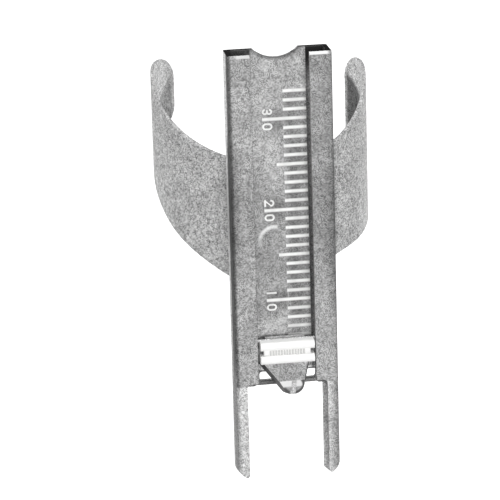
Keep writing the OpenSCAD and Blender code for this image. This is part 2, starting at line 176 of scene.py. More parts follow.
class NodePad:
    """Places and joins the nodes of one shader tree."""

    def __init__(self, tree: bpy.types.NodeTree) -> None:
        """Start on an empty tree.

        Args:
            tree: The node tree to fill.
        """
        self.tree = tree
        tree.nodes.clear()

    def add(self, kind: str, settings: dict | None = None, **values: object) -> bpy.types.Node:
        """Add a node.

        Args:
            kind: Blender's name of the node type.
            settings: Properties of the node itself.
            **values: Input values or sockets by socket name, with _ for a space.

        Returns:
            The new node.
        """
        node = self.tree.nodes.new(kind)
        for name, value in (settings or {}).items():
            setattr(node, name, value)
        for name, value in values.items():
            self.feed(node.inputs[name.replace("_", " ")], value)
        return node

    def feed(self, socket: Socket, value: object) -> None:
        """Set an input socket, or link it if the value is a socket itself.

        Args:
            socket: The input to feed.
            value: A number, a vector, a colour or an output socket.
        """
        if isinstance(value, Socket):
            self.tree.links.new(value, socket)
        else:
            socket.default_value = value

    def math(self, operation: str, *values: object) -> Socket:
        """Add a Math node.

        Args:
            operation: Blender's name of the operation.
            *values: Its numbers or sockets, one to three.

        Returns:
            The result's socket.
        """
        node = self.add("ShaderNodeMath", {"operation": operation})
        for socket, value in zip(node.inputs, values):
            self.feed(socket, value)
        return node.outputs[0]

    def spread(self, value: object, ramp: Ramp, origin: float = 0.0) -> Socket:
        """Map a value smoothly along a ramp.

        Args:
            value: The socket to map.
            ramp: The ramp.
            origin: Value that the ramp's low and high count from.

        Returns:
            The mapped value's socket.
        """
        node = self.add(
            "ShaderNodeMapRange", {"interpolation_type": "SMOOTHSTEP"}, Value=value,
            From_Min=origin + ramp.low, From_Max=origin + ramp.high,
            To_Min=ramp.to_low, To_Max=ramp.to_high,
        )
        return node.outputs["Result"]

    def blend(self, share: object, first: object, second: object) -> Socket:
        """Blend two colours.

        Args:
            share: Share of the second colour, 0 to 1.
            first: First colour or socket.
            second: Second colour or socket.

        Returns:
            The blended colour's socket.
        """
        node = self.add("ShaderNodeMix", {"data_type": "RGBA"}, Factor=share)
        colour_inputs = [socket for socket in node.inputs if socket.type == "RGBA"]
        for socket, colour in zip(colour_inputs, (first, second)):
            self.feed(socket, colour)
        return next(socket for socket in node.outputs if socket.type == "RGBA")

    def scale(self, colour: object, factor: object) -> Socket:
        """Make a colour lighter or darker.

        Args:
            colour: Colour or socket.
            factor: Factor on all three parts, a number or a socket.

        Returns:
            The scaled colour's socket.
        """
        node = self.add("ShaderNodeVectorMath", {"operation": "SCALE"}, Scale=factor)
        self.feed(node.inputs[0], colour)
        return node.outputs[0]

    def tint(self, mask: object, colour: Socket, gain: object) -> Socket:
        """Make a colour lighter or darker where a mask is 1."""
        return self.blend(mask, colour, self.scale(colour, gain))

    def gain(self, mask: Socket, gain: float) -> Socket:
        """Factor that eases from 1 to a gain where a mask rises to 1."""
        return self.spread(mask, Ramp(0.0, 1.0, 1.0, gain))

    def product(self, first: object, *others: object) -> object:
        """Multiply several masks.

        Args:
            first: First number or socket.
            *others: The other numbers or sockets.

        Returns:
            The product's socket.
        """
        for other in others:
            first = self.math("MULTIPLY", first, other)
        return first

    def between(self, share: Socket, first: Socket, second: Socket) -> Socket:
        """Go from a first number to a second by a share."""
        return self.math("MULTIPLY_ADD", share, self.less(second, first), first)

    def less(self, first: object, second: object) -> Socket:
        """First number less the second."""
        return self.math("SUBTRACT", first, second)

    def rest(self, mask: Socket) -> Socket:
        """What a mask leaves over."""
        return self.less(1.0, mask)

    def larger(self, first: object, second: object) -> Socket:
        """Larger of two numbers."""
        return self.math("MAXIMUM", first, second)

    def size(self, value: Socket) -> Socket:
        """Number without its sign."""
        return self.math("ABSOLUTE", value)

    def square(self, first: Socket, second: Socket) -> Socket:
        """Squared length of two sides at right angles."""
        return self.math("ADD", self.product(first, first), self.product(second, second))

    def here(self) -> Here:
        """Sockets of the shaded point in the object's own axes."""
        source = self.add("ShaderNodeTexCoord")
        place = self.add("ShaderNodeSeparateXYZ", Vector=source.outputs["Object"])
        facing = self.add("ShaderNodeSeparateXYZ", Vector=source.outputs["Normal"])
        return Here(*place.outputs, *facing.outputs)

    def seen(self) -> Socket:
        """Mask of rays that show a surface as it is: to the eye, in gloss or through glass."""
        path = self.add("ShaderNodeLightPath")
        seen = self.larger(path.outputs["Is Camera Ray"], path.outputs["Is Glossy Ray"])
        return self.larger(seen, path.outputs["Is Transmission Ray"])


@dataclass
class EffectKit:
    """Builds the shared shader groups once and places them in materials."""

    blotch_scale: float = 0.24
    blotch_share: float = 0.25
    blotch_range: Ramp = Ramp(0.3, 0.7, 0.0, 1.0)
    bump_scale: float = 0.5
    mottle_range: Ramp = Ramp(0.32, 0.68, 0.0, 1.0)
    scratch_level: float = 0.5
    scratch_line: Ramp = Ramp(0.0, 0.006, 1.0, 0.0)
    scratch_patch: Ramp = Ramp(0.56, 0.66, 0.0, 1.0)
    smudge_range: Ramp = Ramp(0.36, 0.64, 0.0, 1.0)

    def __post_init__(self) -> None:
        """Build every group."""
        self.trees = {Effect.GRAIN: self._grain(), Effect.HANDLING: self._handling()}

    def place(self, pad: NodePad, effect: Effect, **values: float) -> bpy.types.Node:
        """Place a group in a material.

        Args:
            pad: The material's pad.
            effect: The group.
            **values: Its inputs by socket name, with _ for a space.

        Returns:
            The group node.
        """
        return pad.add("ShaderNodeGroup", {"node_tree": self.trees[effect]}, **values)

    @staticmethod
    def _open(
        effect: Effect, inputs: dict[str, float], outputs: list[str]
    ) -> tuple[NodePad, dict[str, Socket], bpy.types.Node]:
        """Start a group with float sockets.

        Args:
            effect: The group to start.
            inputs: Default value of each input by name.
            outputs: Names of the outputs.

        Returns:
            The pad, the input sockets by name and the output node.
        """
        tree = bpy.data.node_groups.new(effect.value, "ShaderNodeTree")
        for name, value in inputs.items():
            socket = tree.interface.new_socket(name, in_out="INPUT", socket_type="NodeSocketFloat")
            socket.default_value = value
        for name in outputs:
            tree.interface.new_socket(name, in_out="OUTPUT", socket_type="NodeSocketFloat")
        pad = NodePad(tree)
        source = pad.add("NodeGroupInput")
        return pad, {name: source.outputs[name] for name in inputs}, pad.add("NodeGroupOutput")

    def _grain(self) -> bpy.types.NodeTree:
        """Blasted satin grain: fine specks, soft mottling and a height for the bump.

        Returns:
            The group's tree.
        """
        pad, given, out = self._open(
            Effect.GRAIN, {"Speck Scale": 9000.0, "Mottle Scale": 420.0}, ["Speck", "Mottle", "Height"]
        )
        place = pad.add("ShaderNodeTexCoord").outputs["Object"]
        spaced = pad.scale(place, given["Speck Scale"])
        cell = pad.add("ShaderNodeVectorMath", {"operation": "FLOOR"})
        pad.feed(cell.inputs[0], spaced)
        speck = pad.add("ShaderNodeTexWhiteNoise", Vector=cell.outputs[0]).outputs["Value"]
        noise = pad.add("ShaderNodeTexNoise", Vector=spaced, Scale=self.blotch_scale, Detail=1.0)
        blotch = pad.product(pad.spread(noise.outputs["Fac"], self.blotch_range), self.blotch_share)
        bumps = pad.add("ShaderNodeTexNoise", Vector=spaced, Scale=self.bump_scale, Detail=2.0)
        mottle = pad.add("ShaderNodeTexNoise", Vector=place, Scale=given["Mottle Scale"], Detail=4.0)
        pad.feed(out.inputs["Speck"], pad.math("MULTIPLY_ADD", speck, 1.0 - self.blotch_share, blotch))
        pad.feed(out.inputs["Mottle"], pad.spread(mottle.outputs["Fac"], self.mottle_range))
        pad.feed(out.inputs["Height"], bumps.outputs["Fac"])
        return pad.tree

    def _handling(self) -> bpy.types.NodeTree:
        """Marks of use: thin scratches and soft smudges.

        Returns:
            The group's tree.
        """
        pad, given, out = self._open(
            Effect.HANDLING, {"Scratch Scale": 260.0, "Smudge Scale": 130.0}, ["Scratch", "Smudge"]
        )
        place = pad.add("ShaderNodeTexCoord").outputs["Object"]
        warp = pad.add("ShaderNodeTexNoise", Vector=place, Scale=given["Scratch Scale"], Detail=1.0)
        patch = pad.add("ShaderNodeTexNoise", Vector=place, Scale=given["Smudge Scale"], Detail=3.0)
        near = pad.size(pad.less(warp.outputs["Fac"], self.scratch_level))
        line = pad.spread(near, self.scratch_line)
        few = pad.spread(patch.outputs["Fac"], self.scratch_patch)
        pad.feed(out.inputs["Scratch"], pad.product(line, few))
        pad.feed(out.inputs["Smudge"], pad.spread(patch.outputs["Fac"], self.smudge_range))
        return pad.tree


def new_material(name: str) -> tuple[bpy.types.Material, NodePad]:
    """Start a material.

    Args:
        name: Name of the finish.

    Returns:
        The material and the pad of its empty tree.
    """
    material = bpy.data.materials.new(name)
    material.use_nodes = True
    return material, NodePad(material.node_tree)


@dataclass(frozen=True)
class SatinSteel:
    """Blasted stainless steel with fine grain, scratches and smudges."""

    name: str
    tone: Colour
    roughness: float = 0.6
    roughness_swing: float = 0.05
    metallic: float = 0.45
    specular: float = 0.5
    speck: float = 0.62
    mottle: float = 0.16
    mottle_gain: float = 0.4
    smudge: float = 0.08
    smudge_gain: float = 0.5
    scratch: float = 0.25
    scratch_gain: float = 1.8
    bump: float = 0.25
    bump_depth: float = 0.02 * MM

    def make(self, kit: EffectKit) -> bpy.types.Material:
        """Build the material.

        Args:
            kit: The shared effects.

        Returns:
            The material.
        """
        material, pad = new_material(self.name)
        grain = kit.place(pad, Effect.GRAIN)
        marks = kit.place(pad, Effect.HANDLING)
        low, high = rgba(self.tone, 1.0 - self.speck), rgba(self.tone, 1.0 + self.speck)
        colour = pad.blend(grain.outputs["Speck"], low, high)
        for mask, share, gain in (
            (grain.outputs["Mottle"], self.mottle, self.mottle_gain),
            (marks.outputs["Smudge"], self.smudge, self.smudge_gain),
            (marks.outputs["Scratch"], self.scratch, self.scratch_gain),
        ):
            colour = pad.blend(pad.product(mask, share), colour, rgba(self.tone, gain))
        colour, dull = self.shade(pad, colour)
        swing = Ramp(0.0, 1.0, self.roughness - self.roughness_swing, self.roughness + self.roughness_swing)
        rough, metallic = pad.spread(grain.outputs["Mottle"], swing), self.metallic
        if dull is not None:
            rough = pad.larger(rough, dull)
            metallic = pad.spread(dull, Ramp(0.0, 1.0, self.metallic, 0.0))
        bump = pad.add(
            "ShaderNodeBump", Strength=self.bump, Distance=self.bump_depth, Height=grain.outputs["Height"]
        )
        shader = pad.add(
            "ShaderNodeBsdfPrincipled", Base_Color=colour, Roughness=rough, Metallic=metallic,
            Specular_IOR_Level=self.specular, Normal=bump.outputs["Normal"],
        )
        pad.add("ShaderNodeOutputMaterial", Surface=shader.outputs[0])
        return material

    def shade(self, pad: NodePad, colour: Socket) -> Shade:
        """Colour and dullness of places that differ from the rest; plain steel has none."""
        return Shade(colour, None)


@dataclass(frozen=True)
class FoldedSteel(SatinSteel):
    """Satin steel of the channel, with painted shade inside the fold, on its sides, towards its edges and on
    its cut ends, and painted light on its prongs and back faces and painted highlights on its lips' upper
    bevels.

    The ramps run along X, along the height over the scale's zero, along the depth behind
    the lips or down from the top, as the methods apply them, or by the way a face looks.
    """

    half_width: float = 0.0
    front: float = 0.0
    back: float = 0.0
    top: float = 0.0
    zero: float = 0.0
    soft_start: Ramp = along(-0.08, 0.0, 0.0, 1.0)
    soft_stop: Ramp = along(0.0, 0.08, 1.0, 0.0)
    faces_front: Ramp = Ramp(-0.9, -0.5, 1.0, 0.0)
    faces_back: Ramp = Ramp(0.5, 0.9, 0.0, 1.0)
    faces_side: Ramp = Ramp(0.55, 0.9, 0.0, 1.0)
    prong_step: Ramp = along(1.0, 1.5, 1.0, 0.0)
    prong_fade: Ramp = along(-1.0, 9.0, 1.0, 0.0)
    # Painted light: the prongs are made lighter.
    prong_light_gain: float = 1.6
    # Painted light inside the prongs' fold, lighter than their outside.
    prong_inside_light: Ramp = along(-1.0, 1.0, 1.9, 1.55)
    # Painted shade in a soft band across the lips at mid height.
    shade_band_start: Ramp = along(15.0, 19.0, 0.0, 1.0)
    shade_band_stop: Ramp = along(21.0, 27.0, 1.0, 0.0)
    shade_band_gain: float = 0.84
    # Painted light and shade on the right side: lighter low down, darker higher up, and darker on the right
    # prong.
    right_side: Ramp = along(2.0, 3.0, 0.0, 1.0)
    right_lip: Ramp = along(8.0, 16.0, 1.1, 0.87)
    right_prong: float = 0.8
    # Painted shade towards the outer edges: along the right fold, a dark strip by the left edge and a wider
    # dimming on the left at mid height.
    fold_shade_edge: Ramp = along(4.1, 5.6, 0.0, 0.38)
    fold_start: Ramp = along(6.0, 13.0, 0.15, 1.0)
    fold_stop: Ramp = along(24.0, 31.0, 1.0, 0.25)
    prong_edge: Ramp = along(4.5, 5.3, 0.0, 0.42)
    strip_shade_edge: Ramp = along(-5.4, -5.1, 0.58, 0.0)
    strip_on_prong: float = 0.2
    dim_shade_edge: Ramp = along(-5.0, -4.55, 0.26, 0.0)
    dim_start: Ramp = along(13.0, 17.0, 0.0, 1.0)
    dim_stop: Ramp = along(26.0, 30.0, 1.0, 0.0)
    # Painted shade on the side walls, turning to a painted highlight far back and higher up.
    wall_shift: Ramp = along(27.0, 30.0, 0.15 * MM, 0.75 * MM)
    wall_depth: Ramp = along(1.1, 2.3, 0.26, 2.0)
    wall_rise: Ramp = along(18.0, 32.0, 1.0, 1.5)
    wall_on_prong: float = 0.45
    wall_least: float = 0.6
    lip_edge: Ramp = along(3.3, 3.6, 5.0, 1.0)
    # Painted light: faces that look back are made lighter.
    back_light_gain: float = 1.35
    # Painted shade inside the fold, darkest low down by the foot and darker still near the top ends.
    skin: Ramp = along(2.2, 2.8, 0.234, 0.36)
    inside_shade_top: Ramp = along(-1.8, -1.2, 1.0, 0.4)
    high: Ramp = along(-0.7, -0.5, 0.0, 1.0)
    bevel_up: Ramp = Ramp(0.35, 0.55, 0.0, 1.0)
    bevel_front: Ramp = Ramp(-0.4, -0.3, 1.0, 0.0)
    bevel_left: Ramp = along(-4.85, -4.45, 0.0, 1.0)
    bevel_right: Ramp = along(5.0, 5.4, 1.0, 0.0)
    bevel_top: Ramp = along(-0.34, -0.24, 0.0, 1.0)
    bevel_gain: Ramp = along(-1.0, 1.0, 1.0, 1.22)
    # Colour of the painted highlight on the lips' upper bevels.
    highlight_tone: Colour = grey(0.54)
    cut_up: Ramp = Ramp(0.78, 0.9, 0.0, 1.0)
    # Near-black painted shade on the cut ends at the top of the sheet.
    cut: Colour = grey(0.02)

    def shade(self, pad: NodePad, colour: Socket) -> Shade:
        """Paint shade and light on the lips, the walls, the prongs, the fold's inside and the upper ends.

        Args:
            pad: The material's pad.
            colour: The steel's colour.

        Returns:
            The channel's colour, dull on its cut ends.
        """
        at = pad.here()
        inside = pad.product(
            pad.spread(pad.size(at.x), self.soft_stop, self.half_width),
            pad.spread(at.y, self.soft_start, self.front),
            pad.spread(at.y, self.soft_stop, self.back),
        )
        front = pad.larger(inside, pad.spread(at.ny, self.faces_front))
        prong = pad.between(
            front, pad.spread(at.z, self.prong_fade, self.zero), pad.spread(at.z, self.prong_step, self.zero)
        )
        # Painted light on faces that look back.
        rear_light = pad.scale(colour, self.back_light_gain)
        colour = self._lips(pad, at, colour, prong)
        # Painted shade towards the edges of the front faces and on the side walls.
        face = pad.scale(colour, self._edges(pad, at, prong))
        wall = pad.scale(colour, self._wall(pad, at, prong))
        colour = pad.blend(pad.spread(pad.size(at.nx), self.faces_side), face, wall)
        colour = pad.blend(pad.spread(at.ny, self.faces_back), colour, rear_light)
        # Painted shade inside the fold, which turns to painted light inside the prongs.
        pale = pad.product(prong, pad.spread(at.x, self.prong_inside_light))
        skin = pad.larger(pale, pad.spread(at.z, self.skin, self.zero))
        skin = pad.product(pad.spread(at.z, self.inside_shade_top, self.top), skin)
        return self._ends(pad, at, pad.tint(inside, colour, skin))

    def _lips(self, pad: NodePad, at: Here, colour: Socket, prong: Socket) -> Socket:
        """Paint shade and light on the lips and the prongs: a shaded band at mid height, lighter prongs, and
        a right side lighter low down and darker higher up.

        Args:
            pad: The material's pad.
            at: The shaded point.
            colour: The steel's colour.
            prong: Mask of the prongs.

        Returns:
            The toned colour.
        """
        # Painted shade in a soft band at mid height.
        shade_band = pad.product(
            pad.spread(at.z, self.shade_band_start, self.zero), pad.spread(at.z, self.shade_band_stop, self.zero)
        )
        colour = pad.scale(colour, pad.gain(shade_band, self.shade_band_gain))
        # Painted light on the prongs, and painted light and shade on the right side.
        colour = pad.scale(colour, pad.gain(prong, self.prong_light_gain))
        right = pad.spread(at.x, self.right_side)
        colour = pad.tint(right, colour, pad.spread(at.z, self.right_lip, self.zero))
        return pad.tint(pad.product(right, prong), colour, self.right_prong)

    def _edges(self, pad: NodePad, at: Here, prong: Socket) -> Socket:
        """Paint shade on the lips and the prongs towards their outer edges.

        Args:
            pad: The material's pad.
            at: The shaded point.
            prong: Mask of the prongs.

        Returns:
            The factor on the colour.
        """
        # Painted shade along the right fold, by the left edge and on the left at mid height.
        fold = pad.product(
            pad.spread(at.x, self.fold_shade_edge),
            pad.spread(at.z, self.fold_start, self.zero),
            pad.spread(at.z, self.fold_stop, self.zero),
        )
        fold = pad.between(prong, fold, pad.spread(at.x, self.prong_edge))
        strip = pad.product(pad.spread(at.x, self.strip_shade_edge), pad.gain(prong, self.strip_on_prong))
        dim = pad.product(
            pad.spread(at.x, self.dim_shade_edge),
            pad.spread(at.z, self.dim_start, self.zero),
            pad.spread(at.z, self.dim_stop, self.zero),
        )
        return pad.product(pad.rest(fold), pad.rest(strip), pad.rest(dim))

    def _wall(self, pad: NodePad, at: Here, prong: Socket) -> Socket:
        """Paint shade on the side walls behind the fold, less on the lips' edges, and lighter far back and
        higher up, where it turns into a painted highlight.

        Args:
            pad: The material's pad.
            at: The shaded point.
            prong: Mask of the prongs.

        Returns:
            The factor on the colour.
        """
        # Painted shade on the walls, turning to a painted highlight far back and higher up.
        depth = pad.math("ADD", at.y, pad.spread(at.z, self.wall_shift, self.zero))
        deep = pad.product(
            pad.spread(depth, self.wall_depth, self.front),
            pad.spread(at.z, self.wall_rise, self.zero),
            pad.gain(prong, self.wall_on_prong),
            pad.spread(pad.size(at.x), self.lip_edge),
        )
        return pad.larger(deep, pad.product(prong, self.wall_least))

    def _ends(self, pad: NodePad, at: Here, colour: Socket) -> Shade:
        """Paint highlights on the lips' upper bevels and near-black shade on the cut ends of the sheet.

        Args:
            pad: The material's pad.
            at: The shaded point.
            colour: The channel's colour.

        Returns:
            The finished colour, dull on the cut ends.
        """
        high = pad.spread(at.z, self.high, self.top)
        bevel = pad.product(
            high,
            pad.spread(at.nz, self.bevel_up),
            pad.spread(at.ny, self.bevel_front),
            pad.spread(at.x, self.bevel_left),
            pad.spread(at.z, self.bevel_top, self.top),
            pad.spread(at.x, self.bevel_right),
        )
        # Painted highlight on the upper bevels, and painted shade on the cut ends, made dull as well.
        bright = pad.scale(self.highlight_tone, pad.spread(at.x, self.bevel_gain))
        cut = pad.product(high, pad.spread(at.nz, self.cut_up))
        return Shade(pad.blend(cut, pad.blend(bevel, colour, bright), rgba(self.cut)), cut)


@dataclass(frozen=True)
class EtchedSteel(SatinSteel):
    """Satin steel of the scale, etched dark between its lines and round its numerals, with painted light and
    painted shade on it.

    Ramps made by along() run along X or from a named place, and the others along the
    height over the scale's zero in millimetres, unless they say which way a face looks.
    """

    zero: float = 0.0
    etch: float = 0.53
    line_right: float = 3.1 * MM
    line_length: float = 2.5 * MM
    line_ends: Ramp = along(-0.9, 0.3, 1.0, 0.0)
    lines_start: Ramp = Ramp(2.3, 2.4, 0.0, 1.0)
    lines_stop: Ramp = Ramp(33.0, 33.1, 1.0, 0.0)
    digit_x: float = -0.5 * MM
    digit_side: Ramp = along(1.0, 1.3, 1.0, 0.0)
    digit_step: float = 5.0
    digit_reach: Ramp = Ramp(0.5, 1.6, 1.0, 0.0)
    digit_start: Ramp = Ramp(5.0, 6.0, 0.0, 0.7)
    # Painted light on the lower plate, towards the right, and in the slot under the right lip.
    low_light_gain: Ramp = Ramp(6.5, 9.0, 1.5, 1.0)
    right_light: Ramp = along(1.4, 3.0, 0.0, 0.6)
    right_stop: Ramp = Ramp(32.8, 34.5, 1.0, 0.2)
    slot_light_gain: Ramp = along(3.2, 3.45, 1.0, 2.2)
    # Painted shade in a soft band across the plate at mid height.
    shade_band_start: Ramp = Ramp(9.0, 11.0, 0.0, 1.0)
    shade_band_stop: Ramp = Ramp(21.0, 23.0, 1.0, 0.0)
    shade_band_gain: float = 0.88
    # What the lips cover gets painted shade, and near-black painted shade in the hollows at its top.
    cover_right: Ramp = along(3.1, 3.16, 0.0, 1.0)
    cover_left: Ramp = along(-2.9, -2.6, 1.0, 0.0)
    scoop_z: float = 40.1 * MM
    # Painted shade along the edge of the scoop at the top of the plate.
    scoop_edge_shade: Ramp = along(3.5, 3.95, 0.5, 1.0)
    foot: Ramp = along(2.14, 2.2, 1.0, 0.0)
    # Painted shade on the foot.
    foot_shade_gain: float = 0.55
    end_up: Ramp = Ramp(0.5, 0.8, 0.0, 0.8)
    hollow_start: Ramp = Ramp(33.5, 36.6, 0.0, 1.0)
    hollow_side: Ramp = along(-1.0, 1.0, 0.75, 1.0)
    # Near-black colour of the painted shade in the hollows under the lips' top ends.
    hollow_shade: Colour = grey(0.02)
    shadow: Ramp = Ramp(8.0, 34.0, 0.425, 0.544)
    rub: tuple[float, float, float] = (-0.64 * MM, 16.58 * MM, 1.6 * MM)
    rub_line: Ramp = along(0.04, 0.34, 0.7, 0.0)
    rub_rise: Ramp = along(-1.3, 1.3, 0.0, 1.0)
    rub_side: Ramp = along(0.2, 0.5, 1.0, 0.0)
    rub_tone: Colour = grey(0.8)

    def shade(self, pad: NodePad, colour: Socket) -> Shade:
        """Darken the etched bands and the numerals' grounds, paint light on the lower plate and towards the
        slot, and paint shade in a band at mid height, on the foot, the end and what the lips cover.

        Args:
            pad: The material's pad.
            colour: The steel's colour.

        Returns:
            The etched colour, dull on the end and in the hollows under the lips.
        """
        at = pad.here()
        height = pad.math("DIVIDE", pad.less(at.z, self.zero), MM)
        # Painted light on the lower plate, towards the right and in the slot under the right lip.
        light = pad.product(pad.spread(at.x, self.right_light), pad.spread(height, self.right_stop))
        # Painted shade in a soft band at mid height.
        shade_band = pad.product(pad.spread(height, self.shade_band_start), pad.spread(height, self.shade_band_stop))
        for factor in (
            pad.spread(height, self.low_light_gain),
            pad.math("ADD", 1.0, light),
            pad.spread(at.x, self.slot_light_gain),
            pad.gain(shade_band, self.shade_band_gain),
        ):
            colour = pad.scale(colour, factor)
        colour = pad.tint(self._etched(pad, at, height), colour, self.etch)
        colour = pad.blend(self._rub(pad, at), colour, rgba(self.rub_tone))
        # Painted shade along the scoop's edge and on the foot.
        rise = pad.less(at.z, self.zero + self.scoop_z)
        from_scoop = pad.math("SQRT", pad.square(at.x, rise))
        colour = pad.scale(colour, pad.spread(from_scoop, self.scoop_edge_shade))
        foot = pad.spread(at.z, self.foot, self.zero)
        colour = pad.scale(colour, pad.gain(foot, self.foot_shade_gain))
        # Painted shade on the upper end faces, in the hollows and on what the lips cover, made dull as well.
        end = pad.spread(at.nz, self.end_up)
        covered = pad.larger(pad.spread(at.x, self.cover_right), pad.spread(at.x, self.cover_left))
        hollow_shade = pad.product(covered, pad.spread(height, self.hollow_start))
        faint = pad.product(hollow_shade, pad.spread(at.x, self.hollow_side))
        colour = pad.blend(faint, colour, rgba(self.hollow_shade))
        dark = pad.larger(covered, pad.larger(foot, end))
        return Shade(pad.tint(dark, colour, pad.spread(height, self.shadow)), pad.larger(end, hollow_shade))

    def _etched(self, pad: NodePad, at: Here, height: Socket) -> Socket:
        """Etched ground of the lines and of the numerals.

        Args:
            pad: The material's pad.
            at: The shaded point.
            height: Height over the scale's zero in millimetres.

        Returns:
            The ground's mask.
        """
        band = pad.product(
            pad.spread(pad.less(self.line_right, at.x), self.line_ends, self.line_length),
            pad.spread(height, self.lines_start),
            pad.spread(height, self.lines_stop),
        )
        ground = pad.product(
            pad.spread(pad.size(pad.less(at.x, self.digit_x)), self.digit_side),
            pad.spread(pad.math("PINGPONG", height, self.digit_step), self.digit_reach),
            pad.spread(height, self.digit_start),
        )
        return pad.larger(band, ground)

    def _rub(self, pad: NodePad, at: Here) -> Socket:
        """Curved rub mark beside the middle numeral.

        Args:
            pad: The material's pad.
            at: The shaded point.

        Returns:
            The mark's mask.
        """
        x, z, radius = self.rub
        aside = pad.less(at.x, x)
        above = pad.less(at.z, self.zero + z)
        out = pad.math("SQRT", pad.square(aside, above))
        return pad.product(
            pad.spread(pad.size(pad.less(out, radius)), self.rub_line),
            pad.spread(above, self.rub_rise),
            pad.spread(aside, self.rub_side),
        )


class Lens(NamedTuple):
    """Lens of painted shadow inside one wing of the band, under a slanting line."""

    sign: float
    start: float
    end: float
    line_y: float
    line_z: float
    slope: float
    gain: float


@dataclass(frozen=True)
class BandSteel(SatinSteel):
    """Satin steel of the finger band, with a painted sheen where it is widest, painted light on its inside,
    and painted shadow inside its ends and beside the channel.
    """

    zero: float = 0.0
    inner: float = 11.4 * MM
    inner_skin: float = 0.06 * MM
    # Painted light on the inside of the band.
    inside_light_gain: float = 1.3
    # Painted sheen on the flanks, where the band is widest.
    flanks: Ramp = Ramp(0.8, 0.98, 1.0, 1.22)
    # Painted shadows, lens-shaped, inside the ends of the two wings.
    lenses: tuple[Lens, ...] = (
        Lens(1.0, 1.25 * MM, 4.7 * MM, 1.5 * MM, 29.09 * MM, 0.535, 0.29),
        Lens(-1.0, 5.5 * MM, 7.8 * MM, 5.75 * MM, 29.43 * MM, 0.8, 0.66),
    )
    lens_side: Ramp = along(0.0, 1.0, 0.0, 1.0)
    lens_start: Ramp = along(-3.0, 0.4, 0.0, 1.0)
    lens_line: Ramp = along(-0.5, 0.5, 1.0, 0.0)
    lens_low: Ramp = along(-10.0, -5.5, 0.0, 1.0)
    lens_rim: Ramp = along(-0.8, -0.2, 1.0, 0.3)
    # Painted shadow on the right wing beside the channel.
    corner_x: Ramp = along(5.9, 7.1, 1.0, 0.0)
    corner_side: Ramp = along(0.0, 1.0, 0.0, 1.0)
    corner_y: Ramp = along(-9.0, -8.0, 1.0, 0.0)
    corner_shadow_gain: float = 0.3

    def shade(self, pad: NodePad, colour: Socket) -> Shade:
        """Paint a sheen on the flanks and light on the inside, and paint shadow inside the ends and on the
        right wing beside the channel.

        Args:
            pad: The material's pad.
            colour: The steel's colour.

        Returns:
            The band's colour, dull inside its ends.
        """
        at = pad.here()
        # Painted sheen on the flanks.
        colour = pad.scale(colour, pad.spread(pad.size(at.nx), self.flanks))
        skin = self.inner + self.inner_skin
        inside = pad.spread(pad.square(at.x, at.y), Ramp(self.inner * self.inner, skin * skin, 1.0, 0.0))
        # Painted light on the inside of the band.
        colour = pad.tint(inside, colour, self.inside_light_gain)
        # Painted shadow inside the wings' ends, made dull as well.
        lenses = [pad.product(inside, self._lens(pad, at, lens)) for lens in self.lenses]
        for mask, lens in zip(lenses, self.lenses):
            colour = pad.tint(mask, colour, lens.gain)
        # Painted shadow on the right wing beside the channel.
        corner = pad.product(
            pad.spread(at.x, self.corner_x),
            pad.spread(at.x, self.corner_side),
            pad.spread(at.y, self.corner_y),
            pad.rest(inside),
        )
        return Shade(pad.tint(corner, colour, self.corner_shadow_gain), pad.larger(*lenses))

    def _lens(self, pad: NodePad, at: Here, lens: Lens) -> Socket:
        """Mask of one lens of painted shadow.

        Args:
            pad: The material's pad.
            at: The shaded point.
            lens: The lens.

        Returns:
            The mask, not yet kept to the band's inside.
        """
        line = pad.math("MULTIPLY_ADD", at.y, lens.slope, self.zero + lens.line_z - lens.slope * lens.line_y)
        below = pad.less(at.z, line)
        return pad.product(
            pad.spread(pad.product(at.x, lens.sign), self.lens_side),
            pad.spread(at.y, self.lens_start, lens.start),
            pad.spread(below, self.lens_line),
            pad.spread(below, self.lens_low),
            pad.spread(at.y, self.lens_rim, lens.end),
        )


